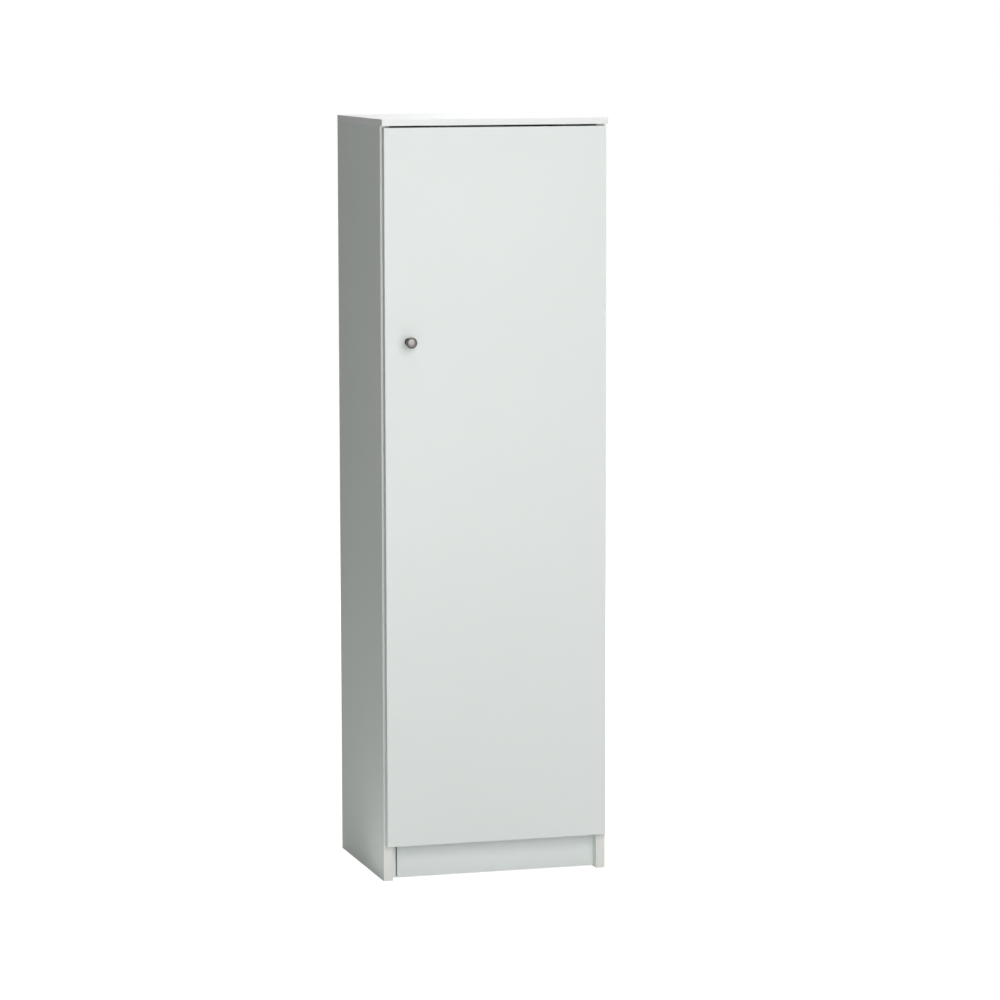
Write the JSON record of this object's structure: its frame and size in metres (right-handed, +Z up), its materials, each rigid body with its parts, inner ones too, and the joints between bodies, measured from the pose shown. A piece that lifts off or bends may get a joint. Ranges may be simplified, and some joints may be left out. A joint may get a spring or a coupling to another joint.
{
  "type": "broom cupboard",
  "caption": "Tall free-standing broom cupboard with a full-height hinged door, small round knob, recessed plinth, and a broom bay beside shelves under a hat shelf.",
  "frame": {"origin": "on the floor, in the middle of the outline box (knob included)", "axes": "+X to the right as one faces the door, +Y to the rear, +Z up"},
  "size_m": [0.54, 0.455, 1.77],
  "materials": {
    "white_board": "white melamine-faced chipboard, satin, edges banded to match",
    "hardboard": "thin hardboard, smooth white face inwards and brown textured face to the wall",
    "beech": "plain beech",
    "zinc_steel": "bright zinc plated steel",
    "zinc_casting": "die-cast zinc alloy, dull",
    "nickel_steel": "nickel plated pressed steel",
    "white_plastic": "white moulded plastic",
    "ferrite": "dark grey ferrite",
    "satin_nickel": "satin nickel plated turned metal",
    "soft_buffer": "translucent soft plastic"
  },
  "bodies": {
    "carcass": {"left_side": "white_board", "right_side": "white_board", "top_panel": "white_board", "bottom_panel": "white_board", "hat_shelf": "white_board", "partition": "white_board", "lower_shelf": "white_board", "middle_shelf": "white_board", "upper_shelf": "white_board", "plinth_board": "white_board", "left_plinth_block": "white_board", "right_plinth_block": "white_board", "lower_back": "hardboard", "upper_back": "hardboard", "back_nails": "zinc_steel", "cam_discs": "zinc_casting", "cam_bolts": "zinc_steel", "dowels": "beech", "block_screws": "zinc_steel", "shelf_pins": "zinc_steel", "hinge_plates": "nickel_steel", "hinge_arms": "nickel_steel", "plate_screws": "zinc_steel", "arm_screws": "zinc_steel", "catch_housing": "white_plastic", "catch_magnet": "ferrite", "catch_screws": "zinc_steel", "wall_bracket": "zinc_steel", "bracket_screws": "zinc_steel"},
    "door": {"door_panel": "white_board", "hinge_cups": "nickel_steel", "hinge_pins": "nickel_steel", "cup_screws": "zinc_steel", "knob": "satin_nickel", "knob_screw": "zinc_steel", "strike_plate": "zinc_steel", "strike_screws": "zinc_steel", "door_buffers": "soft_buffer"}
  },
  "joints": [
    {"name": "door_swing", "type": "hinge", "parent": "carcass", "child": "door", "pos_m": [0.2583, -0.184, 0.91725], "axis": [0, 0, 1], "range_deg": [0, 95]}
  ]
}
